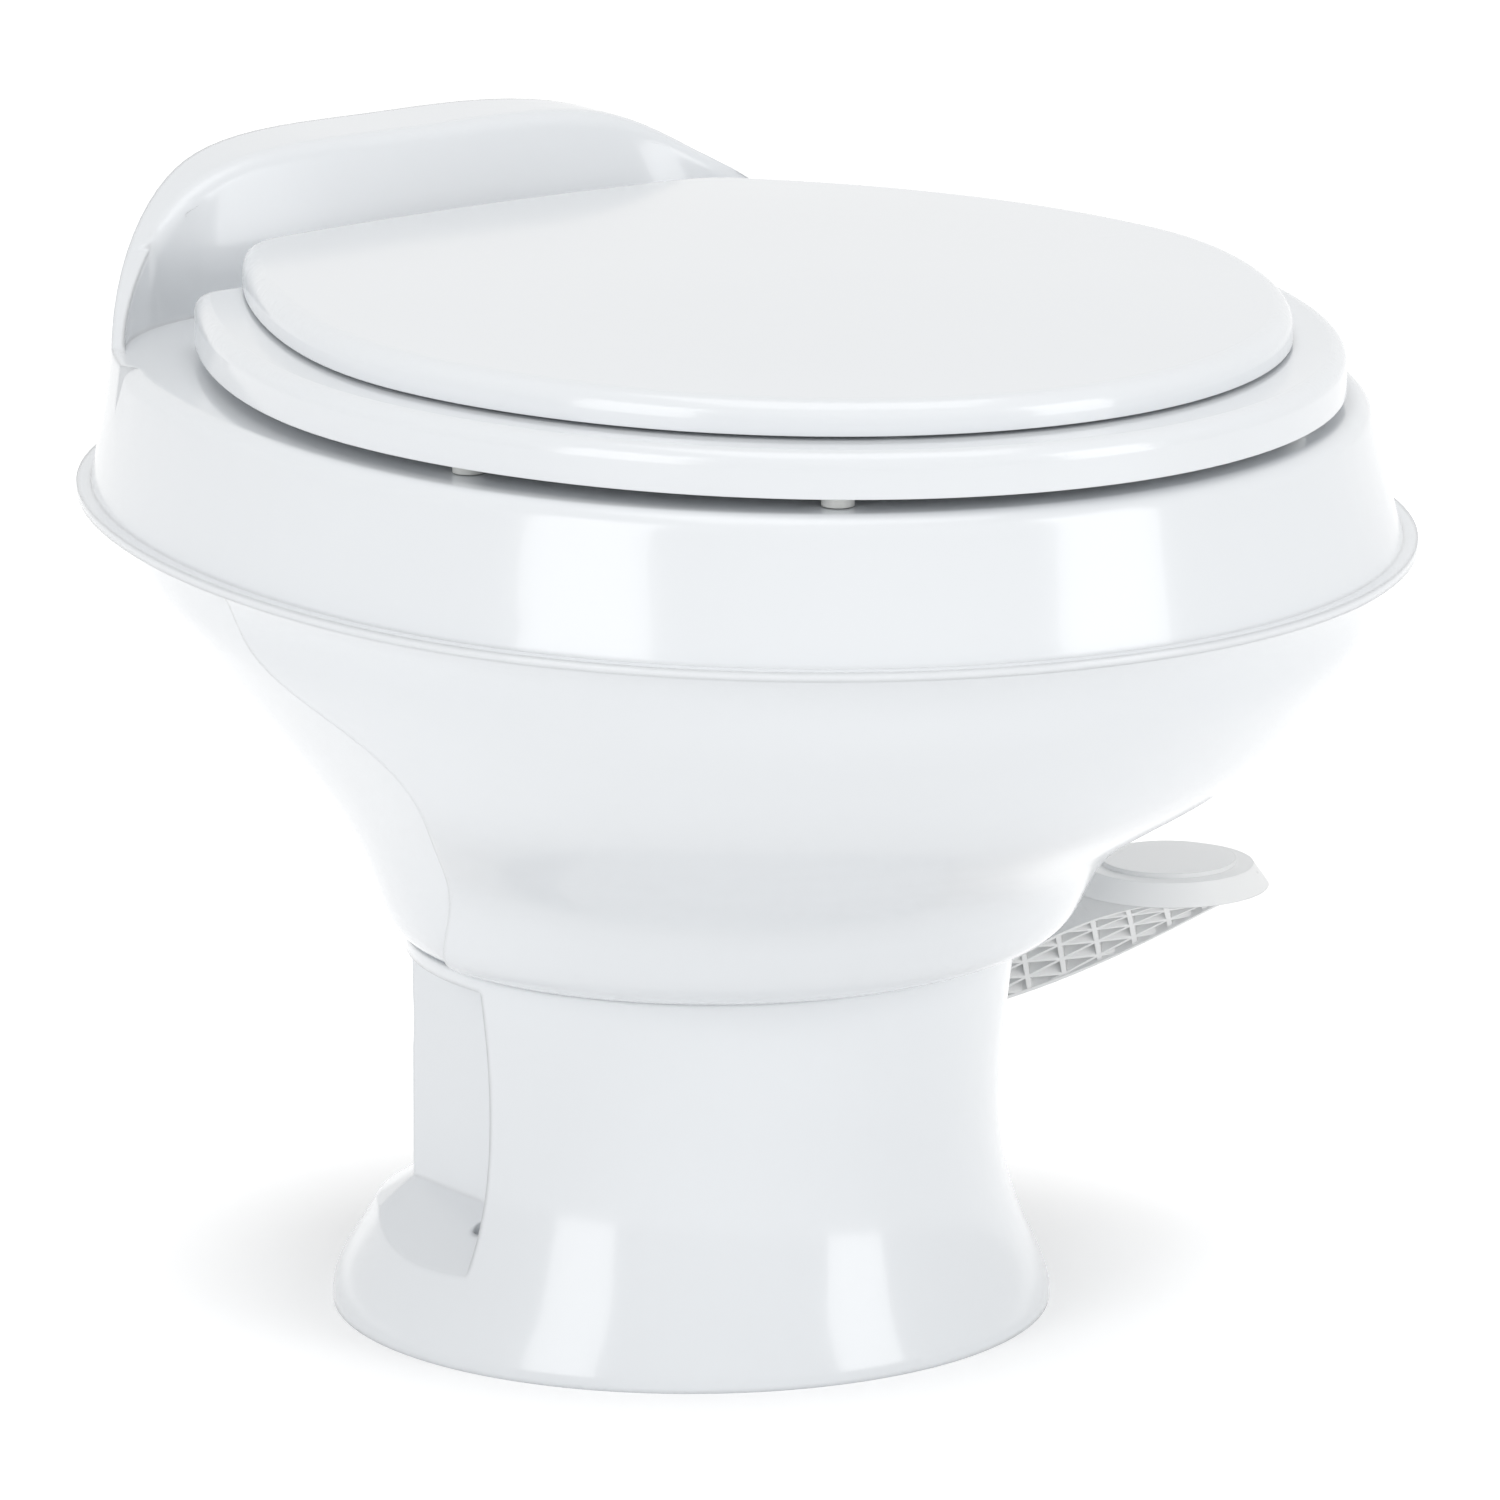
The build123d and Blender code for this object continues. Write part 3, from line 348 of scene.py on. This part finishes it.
class TOILET_OT_stage(bpy.types.Operator):
    """White studio floor and surround, two tall softboxes, a top light and the camera"""

    bl_idname = "toilet.stage"
    bl_label = "Stage"

    def execute(self, context):
        sizes = context.scene.toilet_settings
        scene = context.scene
        scene.view_settings.view_transform = "Standard"
        self.floor()
        self.surround(scene, sizes.sky_level)
        self.camera(scene)
        self.lamps(sizes.lamp_level)
        return {"FINISHED"}

    def floor(self):
        floor_radius = 9.0
        mesh = bpy.data.meshes.new("studio_floor")
        floor = new_object("studio_floor", mesh)
        bm = bmesh.new()
        bmesh.ops.create_circle(bm, cap_ends=True, segments=96, radius=floor_radius)
        bm.to_mesh(mesh)
        bm.free()
        # matt white paper that the camera and reflections see a little brighter than the object does
        material = blank_material("white_studio_paper")
        tree = material.node_tree
        rays = add_node(tree, "ShaderNodeLightPath")
        seen = add_node(
            tree,
            "ShaderNodeMath",
            links={0: rays.outputs["Is Camera Ray"], 1: rays.outputs["Is Glossy Ray"]},
            operation="MAXIMUM",
        )
        # a painted shadow: the glow is dimmer in a ring beside the foot, which darkens the floor there like
        # a contact shadow, and pure white farther out
        foot_edge, painted_shadow_end = 0.11, 0.22
        glow_in_painted_shadow, glow_far_out, glow_on_object = 0.2, 0.5, 0.04
        place = add_node(tree, "ShaderNodeTexCoord").outputs["Object"]
        away = add_node(tree, "ShaderNodeVectorMath", links={0: place}, operation="LENGTH")
        # painted shadow: the floor's glow falls from far out towards the foot, by distance alone
        painted_foot_shadow = add_node(
            tree,
            "ShaderNodeMapRange",
            {"From Min": foot_edge, "From Max": painted_shadow_end, "To Min": glow_in_painted_shadow, "To Max": glow_far_out},
            {"Value": away.outputs["Value"]},
        )
        lift = add_node(
            tree,
            "ShaderNodeMix",
            {"A": glow_on_object},
            {"Factor": seen.outputs[0], "B": painted_foot_shadow.outputs["Result"]},
            data_type="FLOAT",
        )
        paper = add_node(tree, "ShaderNodeBsdfDiffuse", {"Color": linear("#F4F4F4")})
        glow = add_node(tree, "ShaderNodeEmission", links={"Strength": lift.outputs["Result"]})
        both = add_node(
            tree, "ShaderNodeAddShader", links={0: paper.outputs["BSDF"], 1: glow.outputs["Emission"]}
        )
        add_node(tree, "ShaderNodeOutputMaterial", links={"Surface": both.outputs["Shader"]})
        mesh.materials.append(material)

    def surround(self, scene, level):
        # pure white where the camera looks and in gloss, and dimmer as the light on the object
        world = bpy.data.worlds.new("white_surround")
        world.use_nodes = True
        tree = world.node_tree
        tree.nodes.clear()
        rays = add_node(tree, "ShaderNodeLightPath")
        seen = add_node(
            tree,
            "ShaderNodeMath",
            links={0: rays.outputs["Is Camera Ray"], 1: rays.outputs["Is Glossy Ray"]},
            operation="MAXIMUM",
        )
        seen = add_node(
            tree,
            "ShaderNodeMath",
            links={0: seen.outputs[0], 1: rays.outputs["Is Transmission Ray"]},
            operation="MAXIMUM",
        )
        strength = add_node(
            tree,
            "ShaderNodeMix",
            {"A": level, "B": 1.0},
            {"Factor": seen.outputs[0]},
            data_type="FLOAT",
        )
        white = add_node(
            tree, "ShaderNodeBackground", {"Color": (1, 1, 1, 1)}, {"Strength": strength.outputs["Result"]}
        )
        add_node(tree, "ShaderNodeOutputWorld", links={"Surface": white.outputs["Background"]})
        scene.world = world

    def camera(self, scene):
        # the photograph's camera: where it stands, and its optical axis in a 1500 pixel square frame
        azimuth, elevation = math.radians(CAMERA_TURN), math.radians(13.56)
        distance, aim_height = 4.38593, 0.2
        focal_px, middle_px, frame_px = 14062.48, (690.68, 675.73), 1500
        sensor_mm = 36.0
        back = Vector((
            math.sin(azimuth) * math.cos(elevation),
            -math.cos(azimuth) * math.cos(elevation),
            math.sin(elevation),
        ))
        right = Vector((math.cos(azimuth), math.sin(azimuth), 0))
        up = back.cross(right)
        half = frame_px / 2
        look = -back + right * ((half - middle_px[0]) / focal_px) - up * ((half - middle_px[1]) / focal_px)
        lens = bpy.data.cameras.new("studio_camera")
        lens.sensor_width = sensor_mm
        lens.lens = focal_px / frame_px * sensor_mm
        lens.clip_end = 50
        camera = new_object("studio_camera", lens)
        camera.location = Vector((0, 0, aim_height)) + back * distance
        camera.rotation_euler = look.to_track_quat("-Z", "Y").to_euler()
        scene.camera = camera

    def lamps(self, level):
        aim = Vector((0, 0, 0.22))
        toward_camera = CAMERA_TURN - 90.0
        # each softbox: degrees right of the camera, distance, height, width, tallness, share of the level
        for name, turn, far, height, wide, tall, share in (
            ("left_softbox", -42.0, 2.2, 0.75, 0.95, 1.9, 1.0),
            ("right_softbox", 58.0, 2.2, 0.75, 0.9, 1.9, 1.06),
            ("top_softbox", 10.0, 0.3, 2.4, 1.6, 1.6, 0.55),
        ):
            angle = math.radians(toward_camera + turn)
            place = Vector((math.cos(angle) * far, math.sin(angle) * far, height))
            lamp = bpy.data.lights.new(name, "AREA")
            lamp.shape = "RECTANGLE"
            lamp.size = wide
            lamp.size_y = tall
            # a lamp's power is its radiance times pi times its area
            lamp.energy = level * share * math.pi * wide * tall
            holder = new_object(name, lamp)
            holder.location = place
            holder.rotation_euler = (aim - place).to_track_quat("-Z", "Y").to_euler()


class TOILET_PT_panel(bpy.types.Panel):
    """Sizes and steps of the trailer toilet"""

    bl_idname = "TOILET_PT_panel"
    bl_label = "Trailer toilet"
    bl_space_type = "VIEW_3D"
    bl_region_type = "UI"
    bl_category = "Toilet"

    def draw(self, context):
        sizes = context.scene.toilet_settings
        for key in ToiletSettings.__annotations__:
            self.layout.prop(sizes, key)
        for step in STEPS:
            self.layout.operator(step.bl_idname)


STEPS = (
    TOILET_OT_stage,
    TOILET_OT_shells,
    TOILET_OT_seat_and_lid,
    TOILET_OT_pedal,
    TOILET_OT_flush_works,
    TOILET_OT_water_works,
)
CLASSES = (ToiletSettings, *STEPS, TOILET_PT_panel)


def register():
    for item in CLASSES:
        bpy.utils.register_class(item)
    bpy.types.Scene.toilet_settings = bpy.props.PointerProperty(type=ToiletSettings)


def unregister():
    del bpy.types.Scene.toilet_settings
    for item in reversed(CLASSES):
        bpy.utils.unregister_class(item)


def main():
    register()
    bpy.ops.toilet.stage()
    bpy.ops.toilet.shells()
    bpy.ops.toilet.seat_and_lid()
    bpy.ops.toilet.pedal()
    bpy.ops.toilet.flush_works()
    bpy.ops.toilet.water_works()


if __name__ == "__main__":
    main()
